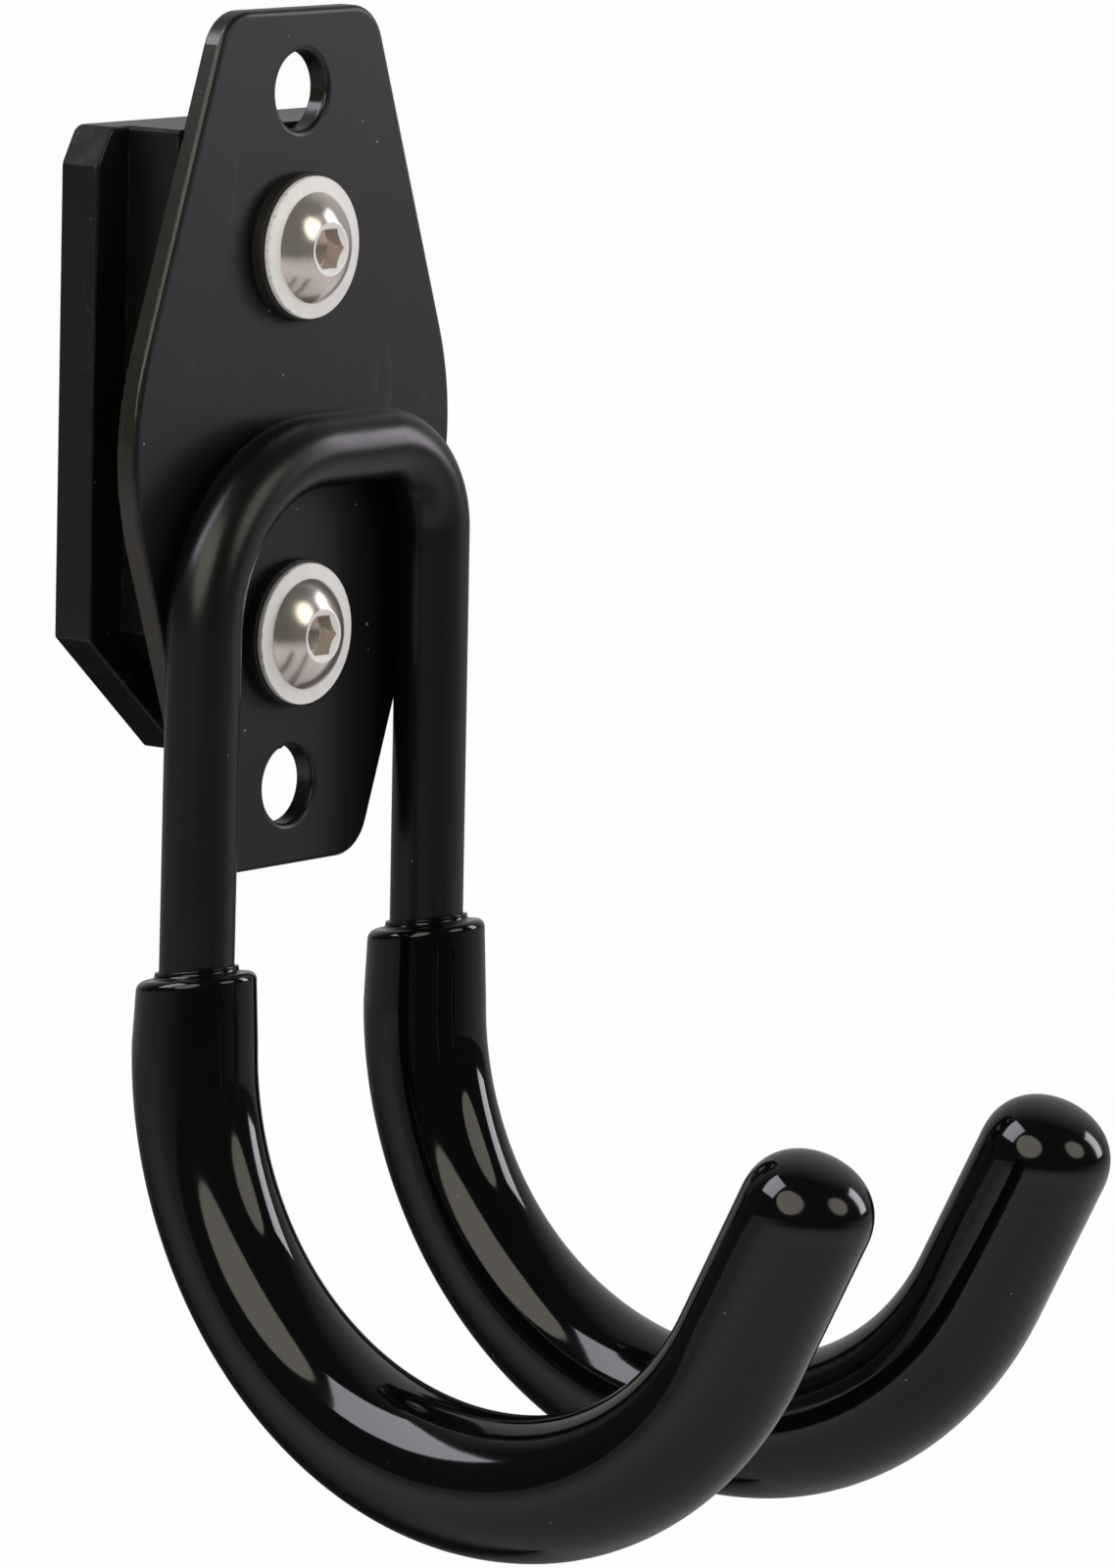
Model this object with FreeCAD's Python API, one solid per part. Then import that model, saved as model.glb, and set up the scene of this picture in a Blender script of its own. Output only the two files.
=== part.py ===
import FreeCAD, Part
import math
import os

# Double garage utility hook: a bent rod welded to a face plate, clamped to a rail block.
# Origin at the centre of the block's rear face, +X right, +Y into the wall, +Z up.
# All lengths are in millimetres and all angles in degrees.

# Face plate, an elongated hexagon
PLATE_HEIGHT = 109.3
PLATE_WIDTH = 67.6  # between the side corners before they are rounded
PLATE_END_WIDTH = 29.4  # between the corners of one end before they are rounded
PLATE_THICKNESS = 3.0
PLATE_SIDE_RADIUS = 38.0
PLATE_CORNER_RADIUS = 6.0
PLATE_FRONT_ROUNDING = 0.8
PLATE_REAR_ROUNDING = 0.3
WALL_HOLE_DIAMETER = 10.0
WALL_HOLE_PITCH = 88.5

# Bent rod
ROD_DIAMETER = 9.5
WELD_FLAT_DEPTH = 0.3
TOP_BAR_HEIGHT = -1.0  # centre of the bar across the plate
LEFT_TOP_BEND_RADIUS = 21.5
RIGHT_TOP_BEND_RADIUS = 12.0
LEG_SPACING = 46.5  # between the leg centres at their lower ends
LEG_SPLAY = 0.4
LEG_END_HEIGHT = -74.4
HOOK_TOE_OUT = 1.0
REAR_BEND_RADIUS = 48.7
REAR_BEND_ANGLE = 100.0
FRONT_BEND_RADIUS = 42.6
HOOK_ANGLE = 153.0
PRONG_LENGTH = 19.4  # straight run, up to the start of the sleeve's dome
ROD_END_COVER = 4.0

# Moulded sleeves
LEFT_COLLAR_LENGTH = 8.8  # from the start of the hook's bend up to the sleeve's mouth
RIGHT_COLLAR_LENGTH = 10.0
MOUTH_TILT = 9.0  # the sleeve's mouth stands higher on its prong side
SLEEVE_TOP_WALL = 2.8
SLEEVE_LEG_WALL = 3.15  # where the hook's bend starts
SLEEVE_TIP_WALL = 3.5
SLEEVE_SWELL = 1.0  # extra wall at the bottom of the hook
SWELL_SHARPNESS = 4  # a higher power gathers the extra wall nearer the bottom
SLEEVE_CLEARANCE = 0.05
SLEEVE_RING_STEP = 9.0  # turn of the hook between two rings of the lofted sleeve
PRONG_RINGS = 2
SHOULDER_RADIUS = 1.2
LIP_WALL = 0.5
LIP_HEIGHT = 0.9
LIP_FILLET = 0.6
TIP_DOME_LENGTH = 7.4
TIP_BLUNTNESS = 0.62

# Rail block: a wide head at the wall and a narrower neck behind the plate
BLOCK_HEIGHT = 80.2
HEAD_WIDTH = 53.6
HEAD_THICKNESS = 6.0
NECK_WIDTH = 41.4
NECK_DEPTH = 8.0
CHAMFER_WIDTH = 17.8
CHAMFER_HEIGHT = 15.6
CHAMFER_LEDGE = 4.6  # width of the head's ledge along the bottom chamfers
HEAD_TOP_CUT_WIDTH = 2.6
HEAD_TOP_CUT_HEIGHT = 4.7
HEAD_TOP_RADIUS = 2.0
BLOCK_EDGE_ROUNDING = 0.6
BLOCK_WALL = 3.0
BLOCK_RIB = 2.5
CORE_DEPTH = 10.0
CORE_ROWS = 4
CORE_CORNER_RADIUS = 1.0
CENTRE_RIB = 5.0

# Fasteners
SCREW_PITCH = 49.2
SCREW_DIAMETER = 8.0
SCREW_LENGTH = 16.0
SCREW_TIP_CHAMFER = 1.0
SCREW_CLEARANCE = 0.3
THREAD_CLEARANCE = 0.05
FLANGE_DIAMETER = 18.1
FLANGE_THICKNESS = 0.85
FLANGE_EDGE_ROUNDING = 0.2
DOME_DIAMETER = 14.1
DOME_HEIGHT = 3.1
DOME_FOOT = 0.25
SOCKET_WIDTH = 5.0
SOCKET_DEPTH = 2.6
SOCKET_MOUTH_DIAMETER = 6.8
SOCKET_MOUTH_DEPTH = 0.35
WASHER_DIAMETER = 19.0
WASHER_THICKNESS = 1.6
WASHER_EDGE_ROUNDING = 0.3
NUT_WIDTH = 13.0
NUT_THICKNESS = 6.5
NUT_CLEARANCE = 0.15
NUT_FLOOR = 5.5
NUT_BEVEL = 30.0

# Aids to the modelling: how far an edge may leave a plane, and the size of a trimming block
FLATNESS = 1e-4
TRIM_SIZE = 60.0

# Sizes that follow from the ones above
Vector = FreeCAD.Vector
INTO_WALL = Vector(0, 1, 0)
SIDES = {"left": -1, "right": 1}
SLEEVE_TOPS = {-1: LEG_END_HEIGHT + LEFT_COLLAR_LENGTH, 1: LEG_END_HEIGHT + RIGHT_COLLAR_LENGTH}
TOP_BEND_RADII = {-1: LEFT_TOP_BEND_RADIUS, 1: RIGHT_TOP_BEND_RADIUS}
BLOCK_DEPTH = HEAD_THICKNESS + NECK_DEPTH
PLATE_REAR_Y = -BLOCK_DEPTH
PLATE_FRONT_Y = PLATE_REAR_Y - PLATE_THICKNESS
WASHER_FRONT_Y = PLATE_FRONT_Y - WASHER_THICKNESS
NUT_SEAT_Y = -BLOCK_DEPTH + NUT_FLOOR
ROD_RADIUS = ROD_DIAMETER / 2
ROD_Y = PLATE_FRONT_Y + WELD_FLAT_DEPTH - ROD_RADIUS
ROD_END_RUN = PRONG_LENGTH + TIP_DOME_LENGTH - ROD_END_COVER
BORE_RADIUS = ROD_RADIUS + SLEEVE_CLEARANCE
SCREW_HEIGHTS = (SCREW_PITCH / 2, -SCREW_PITCH / 2)
WALL_HOLE_HEIGHTS = (WALL_HOLE_PITCH / 2, -WALL_HOLE_PITCH / 2)
SCREW_HOLE_RADIUS = SCREW_DIAMETER / 2 + SCREW_CLEARANCE


def rounded_outline(corners, radii):
    """Closed wire through the corners, each rounded by a tangent arc of its own radius."""
    arcs = []
    for i, corner in enumerate(corners):
        to_last = (corners[i - 1] - corner).normalize()
        to_next = (corners[(i + 1) % len(corners)] - corner).normalize()
        half_angle = to_last.getAngle(to_next) / 2
        bisector = (to_last + to_next).normalize()
        reach = radii[i] / math.tan(half_angle)
        middle = corner + bisector * (radii[i] / math.sin(half_angle) - radii[i])
        arcs.append(Part.Arc(corner + to_last * reach, middle, corner + to_next * reach))
    edges = []
    for i, arc in enumerate(arcs):
        edges.append(Part.LineSegment(arcs[i - 1].EndPoint, arc.StartPoint).toShape())
        edges.append(arc.toShape())
    return Part.Wire(edges)


def prism(outline, depth):
    """Solid that runs from a flat outline towards the wall."""
    return Part.Face(outline).extrude(INTO_WALL * depth)


def hole(radius, x, z, front_y, depth):
    return Part.makeCylinder(radius, depth, Vector(x, front_y, z), INTO_WALL)


def hexagon(width, front_y, z):
    """Hexagonal wire, width across flats, with a corner at the top."""
    corner_radius = width / math.sqrt(3)
    corners = [
        Vector(corner_radius * math.sin(math.radians(60 * i)), front_y,
               z + corner_radius * math.cos(math.radians(60 * i)))
        for i in range(7)
    ]
    return Part.makePolygon(corners)


def flat_edges(solid, y):
    """Edges of the solid that lie wholly in the plane at y."""
    return [edge for edge in solid.Edges
            if max(abs(edge.BoundBox.YMin - y), abs(edge.BoundBox.YMax - y)) < FLATNESS]


def level_edges(solid, z):
    """Edges of the solid that lie wholly in the plane at z."""
    return [edge for edge in solid.Edges
            if max(abs(edge.BoundBox.ZMin - z), abs(edge.BoundBox.ZMax - z)) < FLATNESS]


def plate_blank():
    """The plate's outline at full thickness, before holes and rounded edges."""
    end, side, top = PLATE_END_WIDTH / 2, PLATE_WIDTH / 2, PLATE_HEIGHT / 2
    places = [(-end, top), (end, top), (side, 0), (end, -top), (-end, -top), (-side, 0)]
    corners = [Vector(x, PLATE_FRONT_Y, z) for x, z in places]
    end_radius, side_radius = PLATE_CORNER_RADIUS, PLATE_SIDE_RADIUS
    radii = [end_radius, end_radius, side_radius, end_radius, end_radius, side_radius]
    return prism(rounded_outline(corners, radii), PLATE_THICKNESS)


def mount_plate():
    plate = plate_blank()
    for z in WALL_HOLE_HEIGHTS:
        plate = plate.cut(hole(WALL_HOLE_DIAMETER / 2, 0, z, PLATE_FRONT_Y, PLATE_THICKNESS))
    plate = plate.makeFillet(PLATE_FRONT_ROUNDING, flat_edges(plate, PLATE_FRONT_Y))
    plate = plate.makeFillet(PLATE_REAR_ROUNDING, flat_edges(plate, PLATE_REAR_Y))
    for z in SCREW_HEIGHTS:
        plate = plate.cut(hole(SCREW_HOLE_RADIUS, 0, z, PLATE_FRONT_Y, PLATE_THICKNESS))
    return plate


def leg_directions(side):
    """Unit vectors down the leg and out of the leg towards the hook's prong."""
    splay, toe_out = math.radians(LEG_SPLAY), math.radians(HOOK_TOE_OUT)
    down = Vector(side * math.sin(splay), 0, -math.cos(splay))
    sideways = Vector(side * math.cos(splay), 0, math.sin(splay))
    outward = sideways * math.sin(toe_out) - INTO_WALL * math.cos(toe_out)
    return down, outward


def leg_point(side, height):
    """Centre of the leg at a height."""
    spread = (LEG_END_HEIGHT - height) * math.tan(math.radians(LEG_SPLAY))
    return Vector(side * (LEG_SPACING / 2 + spread), ROD_Y, height)


def hook_station(side, turn):
    """Centreline point and heading where the hook has turned by an angle from its leg."""
    down, outward = leg_directions(side)
    point = leg_point(side, LEG_END_HEIGHT)
    rear_turn = min(turn, REAR_BEND_ANGLE)
    for radius, start, end in ((REAR_BEND_RADIUS, 0, rear_turn), (FRONT_BEND_RADIUS, rear_turn, turn)):
        start, end = math.radians(start), math.radians(end)
        point += outward * radius * (math.cos(start) - math.cos(end))
        point += down * radius * (math.sin(end) - math.sin(start))
    heading = outward * math.sin(math.radians(turn)) + down * math.cos(math.radians(turn))
    return point, heading


def straight_bar(start, end, radius):
    return Part.makeCylinder(radius, (end - start).Length, start, end - start)


def bent_bar(start, heading, towards_centre, bend_radius, angle, radius):
    """Round bar bent from a start point, where it runs along heading, about a centre beside it."""
    disc = Part.Face(Part.Wire(Part.makeCircle(radius, start, heading)))
    centre = start + towards_centre * bend_radius
    return disc.revolve(centre, (start - centre).cross(heading), angle)


def hook_bar(side, radius, top, end_run):
    """Round bar from a point on the leg, round the hook and straight on along the prong."""
    down, outward = leg_directions(side)
    leg_end = leg_point(side, LEG_END_HEIGHT)
    middle, middle_heading = hook_station(side, REAR_BEND_ANGLE)
    prong_start, prong_heading = hook_station(side, HOOK_ANGLE)
    turn = math.radians(REAR_BEND_ANGLE)
    inward = outward * math.cos(turn) - down * math.sin(turn)
    return [
        straight_bar(top, leg_end, radius),
        bent_bar(leg_end, down, outward, REAR_BEND_RADIUS, REAR_BEND_ANGLE, radius),
        bent_bar(middle, middle_heading, inward, FRONT_BEND_RADIUS, HOOK_ANGLE - REAR_BEND_ANGLE, radius),
        straight_bar(prong_start, prong_start + prong_heading * end_run, radius),
    ]


def top_bend_centre(side):
    bend_radius = TOP_BEND_RADII[side]
    splay = math.radians(LEG_SPLAY)
    height = TOP_BAR_HEIGHT - bend_radius
    return leg_point(side, height) - Vector(side * bend_radius / math.cos(splay), 0, 0)


def hook_rod():
    """One rod: the bar across the plate, two bends, two legs and two hooks, flat where it is welded."""
    bar_ends = {side: top_bend_centre(side) + Vector(0, 0, TOP_BEND_RADII[side]) for side in SIDES.values()}
    pieces = [straight_bar(bar_ends[-1], bar_ends[1], ROD_RADIUS)]
    splay = math.radians(LEG_SPLAY)
    for side in SIDES.values():
        bend_radius = TOP_BEND_RADII[side]
        corner = bent_bar(bar_ends[side], Vector(side, 0, 0), Vector(0, 0, -1), bend_radius,
                          90 - LEG_SPLAY, ROD_RADIUS)
        leg_top = top_bend_centre(side) + Vector(side * math.cos(splay), 0, math.sin(splay)) * bend_radius
        pieces += [corner] + hook_bar(side, ROD_RADIUS, leg_top, ROD_END_RUN)
    rod = pieces[0].multiFuse(pieces[1:])
    return rod.cut(plate_blank()).removeSplitter()


def sleeve_radius(turn):
    """Outer radius of a sleeve where the hook has turned by an angle."""
    wall = SLEEVE_LEG_WALL + (SLEEVE_TIP_WALL - SLEEVE_LEG_WALL) * turn / HOOK_ANGLE
    return BORE_RADIUS + wall + SLEEVE_SWELL * math.sin(math.radians(turn)) ** SWELL_SHARPNESS


def local_frame(side, point, heading):
    """Placement at a centreline point with Z along the heading and X out of the hook's plane."""
    down, outward = leg_directions(side)
    across = down.cross(outward)
    return FreeCAD.Placement(point, FreeCAD.Rotation(across, heading.cross(across), heading, "ZXY"))


def ring(side, point, heading, radius):
    circle = Part.makeCircle(radius)
    circle.Placement = local_frame(side, point, heading)
    return Part.Wire(circle)


def turned(edges, side, point, heading):
    """Solid of revolution of a profile drawn in X and Z, placed with its Z axis along the heading."""
    solid = Part.Face(Part.Wire(edges)).revolve(Vector(), Vector(0, 0, 1), 360)
    solid.Placement = local_frame(side, point, heading)
    return solid


def cut_above(shape, height):
    """Remove what stands above a height in the shape's own frame."""
    corner = Vector(-TRIM_SIZE / 2, -TRIM_SIZE / 2, height)
    return shape.cut(Part.makeBox(TRIM_SIZE, TRIM_SIZE, TRIM_SIZE, corner))


def sleeve_collar(side):
    """Top of the sleeve, with a rounded shoulder and a thin lip that rises on the rod."""
    down, outward = leg_directions(side)
    tilt = math.radians(MOUTH_TILT)
    mouth = local_frame(side, leg_point(side, SLEEVE_TOPS[side]),
                        outward * -math.sin(tilt) - down * math.cos(tilt))
    foot = leg_point(side, LEG_END_HEIGHT)
    length = (foot - mouth.Base).Length
    flare = (SLEEVE_LEG_WALL - SLEEVE_TOP_WALL) / length
    height = 2 * length  # well past the mouth, where both blanks are trimmed
    cone = Part.makeCone(sleeve_radius(0), sleeve_radius(0) - flare * height, height, foot, down * -1)
    stem = Part.makeCylinder(BORE_RADIUS + LIP_WALL, height, foot, down * -1)
    for shape in (cone, stem):
        shape.Placement = mouth.inverse() * shape.Placement
    collar = cut_above(cone, 0)
    collar = collar.makeFillet(SHOULDER_RADIUS, level_edges(collar, 0))
    collar = collar.fuse(cut_above(stem, LIP_HEIGHT)).removeSplitter()
    shoulder_start = sleeve_radius(0) - SHOULDER_RADIUS
    lip_foot = [edge for edge in level_edges(collar, 0) if edge.BoundBox.XMax < shoulder_start]
    collar = collar.makeFillet(LIP_FILLET, lip_foot)
    collar.Placement = mouth * collar.Placement
    return collar


def sleeve_tip(side):
    """Blunt dome over the end of the rod."""
    point, heading = hook_station(side, HOOK_ANGLE)
    radius = sleeve_radius(HOOK_ANGLE)
    dome = Part.BezierCurve()
    dome.setPoles([
        Vector(radius, 0, 0),
        Vector(radius, 0, TIP_DOME_LENGTH * TIP_BLUNTNESS),
        Vector(radius * TIP_BLUNTNESS, 0, TIP_DOME_LENGTH),
        Vector(0, 0, TIP_DOME_LENGTH),
    ])
    edges = [
        Part.LineSegment(Vector(), Vector(radius, 0, 0)).toShape(),
        dome.toShape(),
        Part.LineSegment(Vector(0, 0, TIP_DOME_LENGTH), Vector()).toShape(),
    ]
    return turned(edges, side, point + heading * PRONG_LENGTH, heading)


def sleeve_body(side):
    """Curved length of the sleeve, lofted through rings along the rod."""
    rings = []
    count = math.ceil(HOOK_ANGLE / SLEEVE_RING_STEP)
    for i in range(count + 1):
        turn = HOOK_ANGLE * i / count
        rings.append(ring(side, *hook_station(side, turn), sleeve_radius(turn)))
    prong_start, heading = hook_station(side, HOOK_ANGLE)
    for i in range(PRONG_RINGS):
        centre = prong_start + heading * PRONG_LENGTH * (i + 1) / PRONG_RINGS
        rings.append(ring(side, centre, heading, sleeve_radius(HOOK_ANGLE)))
    return Part.makeLoft(rings, True)


def grip_sleeve(side):
    down = leg_directions(side)[0]
    bore_top = leg_point(side, SLEEVE_TOPS[side]) - down * (BORE_RADIUS + LIP_HEIGHT)
    bore = hook_bar(side, BORE_RADIUS, bore_top, ROD_END_RUN + SLEEVE_CLEARANCE)
    sleeve = sleeve_body(side).multiFuse([sleeve_collar(side), sleeve_tip(side)])
    return sleeve.cut(bore[0].multiFuse(bore[1:])).removeSplitter()


def chamfer_line(ledge, x):
    """Height at a distance from the middle of a line one ledge inside the head's bottom chamfer."""
    slope = CHAMFER_HEIGHT / CHAMFER_WIDTH
    inside = x - (HEAD_WIDTH / 2 - CHAMFER_WIDTH)
    return -BLOCK_HEIGHT / 2 + slope * inside + ledge * math.hypot(1, slope)


def block_corners(width, ledge, front_y, top_cut=None):
    """Corners of an upright block face; the bottom ones are cut off along the chamfer line."""
    side, top = width / 2, BLOCK_HEIGHT / 2
    low = chamfer_line(ledge, side)
    foot = side - (low + top) * CHAMFER_WIDTH / CHAMFER_HEIGHT
    right = [(side, top), (side, low), (foot, -top)]
    if top_cut:
        right[:1] = [(side - top_cut[0], top), (side, top - top_cut[1])]
    left = [(-x, z) for x, z in reversed(right)]
    return [Vector(x, front_y, z) for x, z in right + left]


def core_pockets():
    """Rear pockets that keep the moulding's walls even: two side columns and a middle pair."""
    pockets = []
    inner = (NUT_WIDTH / 2 + NUT_CLEARANCE) + BLOCK_RIB
    outer = NECK_WIDTH / 2 - BLOCK_WALL
    top = BLOCK_HEIGHT / 2 - BLOCK_WALL
    bottom = chamfer_line(CHAMFER_LEDGE + BLOCK_WALL, outer)
    row_height = (top - bottom - (CORE_ROWS - 1) * BLOCK_RIB) / CORE_ROWS
    for side in SIDES.values():
        for row in range(CORE_ROWS):
            z = bottom + row * (row_height + BLOCK_RIB)
            pockets.append((side * (inner + outer) / 2, z + row_height / 2, outer - inner, row_height))
    nut_reach = (NUT_WIDTH + 2 * NUT_CLEARANCE) / math.sqrt(3)
    low, high = CENTRE_RIB / 2, SCREW_PITCH / 2 - nut_reach - BLOCK_RIB
    for side in SIDES.values():
        pockets.append((0, side * (low + high) / 2, 2 * (inner - BLOCK_RIB), high - low))
    return [core_pocket(*place) for place in pockets]


def core_pocket(x, z, width, height):
    half_width, half_height = width / 2, height / 2
    places = [(-half_width, half_height), (half_width, half_height),
              (half_width, -half_height), (-half_width, -half_height)]
    corners = [Vector(x + across, -CORE_DEPTH, z + up) for across, up in places]
    return prism(rounded_outline(corners, [CORE_CORNER_RADIUS] * 4), CORE_DEPTH)


def rail_block():
    """T-shaped slider: the head runs behind a rail's lips and the neck between them."""
    head_corners = block_corners(HEAD_WIDTH, 0, -HEAD_THICKNESS, (HEAD_TOP_CUT_WIDTH, HEAD_TOP_CUT_HEIGHT))
    radii = [HEAD_TOP_RADIUS] * 2 + [BLOCK_EDGE_ROUNDING] * 4 + [HEAD_TOP_RADIUS] * 2
    head = prism(rounded_outline(head_corners, radii), HEAD_THICKNESS)
    head_faces = flat_edges(head, -HEAD_THICKNESS) + flat_edges(head, 0)
    head = head.makeFillet(BLOCK_EDGE_ROUNDING, head_faces)
    neck_corners = block_corners(NECK_WIDTH, CHAMFER_LEDGE, PLATE_REAR_Y)
    neck = prism(rounded_outline(neck_corners, [BLOCK_EDGE_ROUNDING] * 6), BLOCK_DEPTH - BLOCK_EDGE_ROUNDING)
    block = head.fuse(neck)
    cuts = core_pockets()
    for z in SCREW_HEIGHTS:
        cuts.append(hole(SCREW_HOLE_RADIUS, 0, z, PLATE_REAR_Y, BLOCK_DEPTH))
        cuts.append(prism(hexagon(NUT_WIDTH + 2 * NUT_CLEARANCE, NUT_SEAT_Y, z), -NUT_SEAT_Y))
    return block.cut(cuts).removeSplitter()


def dome_height(radius):
    """Height of the screw head's dome above its foot at a distance from the axis."""
    base = DOME_DIAMETER / 2
    sphere = (base ** 2 + DOME_HEIGHT ** 2) / (2 * DOME_HEIGHT)
    return math.sqrt(sphere ** 2 - radius ** 2) - (sphere - DOME_HEIGHT)


def profile_point(radius, height):
    """Point of a screw's profile, with the height measured forward from under its flange."""
    return Vector(radius, WASHER_FRONT_Y - height, 0)


def flange_screw(z):
    """Button-head screw with a flange and a hexagon socket."""
    shank, flange, dome = SCREW_DIAMETER / 2, FLANGE_DIAMETER / 2, DOME_DIAMETER / 2
    mouth = SOCKET_MOUTH_DIAMETER / 2
    foot = FLANGE_THICKNESS + DOME_FOOT
    crown = foot + dome_height(mouth)
    shoulder = (dome + mouth) / 2
    outline = [
        profile_point(0, -SCREW_LENGTH),
        profile_point(shank - SCREW_TIP_CHAMFER, -SCREW_LENGTH),
        profile_point(shank, SCREW_TIP_CHAMFER - SCREW_LENGTH),
        profile_point(shank, 0),
        profile_point(flange - FLANGE_EDGE_ROUNDING, 0),
        profile_point(flange, FLANGE_EDGE_ROUNDING),
        profile_point(flange, FLANGE_THICKNESS - FLANGE_EDGE_ROUNDING),
        profile_point(flange - FLANGE_EDGE_ROUNDING, FLANGE_THICKNESS),
        profile_point(dome, FLANGE_THICKNESS),
        profile_point(dome, foot),
    ]
    crown_arc = Part.Arc(outline[-1], profile_point(shoulder, foot + dome_height(shoulder)),
                         profile_point(mouth, crown))
    edges = [Part.LineSegment(a, b).toShape() for a, b in zip(outline, outline[1:])]
    edges.append(crown_arc.toShape())
    edges.append(Part.LineSegment(profile_point(mouth, crown), profile_point(0, crown)).toShape())
    edges.append(Part.LineSegment(profile_point(0, crown), outline[0]).toShape())
    screw = Part.Face(Part.Wire(edges)).revolve(Vector(), INTO_WALL, 360)
    crown_y = WASHER_FRONT_Y - crown
    socket_corner = SOCKET_WIDTH / math.sqrt(3)
    mouth_cone = Part.makeCone(mouth, socket_corner, SOCKET_MOUTH_DEPTH, Vector(0, crown_y, 0), INTO_WALL)
    socket = prism(hexagon(SOCKET_WIDTH, crown_y, 0), SOCKET_DEPTH)
    drill_point = Part.makeCone(SOCKET_WIDTH / 2, 0, SOCKET_WIDTH / 4,
                                Vector(0, crown_y + SOCKET_DEPTH, 0), INTO_WALL)
    screw = screw.cut([mouth_cone, socket, drill_point])
    return screw.translated(Vector(0, 0, z))


def washer(z):
    disc = hole(WASHER_DIAMETER / 2, 0, z, WASHER_FRONT_Y, WASHER_THICKNESS)
    disc = disc.makeFillet(WASHER_EDGE_ROUNDING, flat_edges(disc, WASHER_FRONT_Y))
    return disc.cut(hole(SCREW_HOLE_RADIUS, 0, z, WASHER_FRONT_Y, WASHER_THICKNESS))


def hex_nut(z):
    """Hexagon nut seated on the floor of its pocket, with bevelled corners on both faces."""
    flat, corner = NUT_WIDTH / 2, NUT_WIDTH / math.sqrt(3)
    bevel = (corner - flat) * math.tan(math.radians(NUT_BEVEL))
    places = [
        (0, 0), (flat, 0), (corner, bevel), (corner, NUT_THICKNESS - bevel),
        (flat, NUT_THICKNESS), (0, NUT_THICKNESS), (0, 0),
    ]
    profile = Part.makePolygon([Vector(radius, NUT_SEAT_Y + depth, 0) for radius, depth in places])
    envelope = Part.Face(profile).revolve(Vector(), INTO_WALL, 360).translated(Vector(0, 0, z))
    nut = prism(hexagon(NUT_WIDTH, NUT_SEAT_Y, z), NUT_THICKNESS).common(envelope)
    return nut.cut(hole(SCREW_DIAMETER / 2 + THREAD_CLEARANCE, 0, z, NUT_SEAT_Y, NUT_THICKNESS))


def pair(make_one):
    """The same fastener at both screw heights, as separate solids in one group."""
    return Part.makeCompound([make_one(z) for z in SCREW_HEIGHTS])


def main():
    nodes = {
        "mount_plate": mount_plate(),
        "hook_rod": hook_rod(),
        "rail_block": rail_block(),
        "flange_screws": pair(flange_screw),
        "washers": pair(washer),
        "hex_nuts": pair(hex_nut),
    }
    for name, side in SIDES.items():
        nodes["grip_sleeve_" + name] = grip_sleeve(side)
    os.makedirs("parts", exist_ok=True)
    for name, shape in nodes.items():
        shape.exportStep("parts/" + name + ".step")


main()
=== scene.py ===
import math

import bmesh
import bpy
from mathutils import Matrix, Vector


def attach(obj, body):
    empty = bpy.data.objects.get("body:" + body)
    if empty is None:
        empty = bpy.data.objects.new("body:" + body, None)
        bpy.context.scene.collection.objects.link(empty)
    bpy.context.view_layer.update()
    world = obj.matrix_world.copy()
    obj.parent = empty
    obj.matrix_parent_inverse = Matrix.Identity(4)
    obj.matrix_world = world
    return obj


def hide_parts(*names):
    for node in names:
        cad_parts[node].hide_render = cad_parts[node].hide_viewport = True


# Looks of the double garage utility hook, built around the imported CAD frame.
# The sizes below are in millimetres and become metres where a mesh or the camera is made.
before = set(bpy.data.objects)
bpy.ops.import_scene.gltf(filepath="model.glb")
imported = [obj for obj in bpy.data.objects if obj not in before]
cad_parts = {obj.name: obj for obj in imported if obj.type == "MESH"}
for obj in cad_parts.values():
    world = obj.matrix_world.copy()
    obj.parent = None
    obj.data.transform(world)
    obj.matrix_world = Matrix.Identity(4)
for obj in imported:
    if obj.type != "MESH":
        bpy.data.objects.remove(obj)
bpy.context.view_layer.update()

MM = 0.001

# Sizes repeated from the CAD source; -1 is the left side and 1 the right
PLATE_FRONT_Y = -17.0
PLATE_TOP, PLATE_SIDE, PLATE_END = 54.65, 33.8, 14.7  # half its height, its width and its ends' width
ROD_RADIUS = 4.75
ROD_Y = -21.45
TOP_BAR_HEIGHT = -1.0
TOP_BEND_RADII = {-1: 21.5, 1: 12.0}
LEG_SPACING = 46.5
LEG_SPLAY = math.radians(0.4)
LEG_END_HEIGHT = -74.4
TOE_OUT = math.radians(1.0)
HOOK_ANGLE = 153
HOOK_BENDS = ((48.7, 0, 100), (42.6, 100, HOOK_ANGLE))  # radius, and the turns where each starts and ends
PRONG_LENGTH = 19.4
ROD_END_RUN = 22.8
SLEEVE_TOPS = {-1: -65.6, 1: -64.4}
MOUTH_TILT = math.radians(9)
BORE_RADIUS = 4.8
TOP_WALL, LEG_WALL, TIP_WALL = 2.8, 3.15, 3.5
SWELL, SWELL_POWER = 1.0, 4
SHOULDER_RADIUS = 1.2
LIP_WALL, LIP_HEIGHT, LIP_FILLET, LIP_ROUNDING, LIP_LEDGE = 0.5, 0.9, 0.6, 0.15, 0.2
TIP_DOME_LENGTH = 7.4
TIP_BLUNTNESS = 0.62
SCREW_HEIGHTS = (24.6, -24.6)
WASHER_FRONT_Y = -18.6
SCREW_LENGTH = 16.0
SHANK_RADIUS, SHANK_CHAMFER = 4.0, 1.0
FLANGE_RADIUS, FLANGE_THICKNESS, FLANGE_ROUNDING = 9.05, 0.85, 0.2
DOME_RADIUS, DOME_HEIGHT, DOME_FOOT = 7.05, 3.1, 0.25
DOME_SPHERE = (DOME_RADIUS ** 2 + DOME_HEIGHT ** 2) / (2 * DOME_HEIGHT)
FOOT_FLARE, FOOT_RISE = 0.15, 0.08
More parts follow.
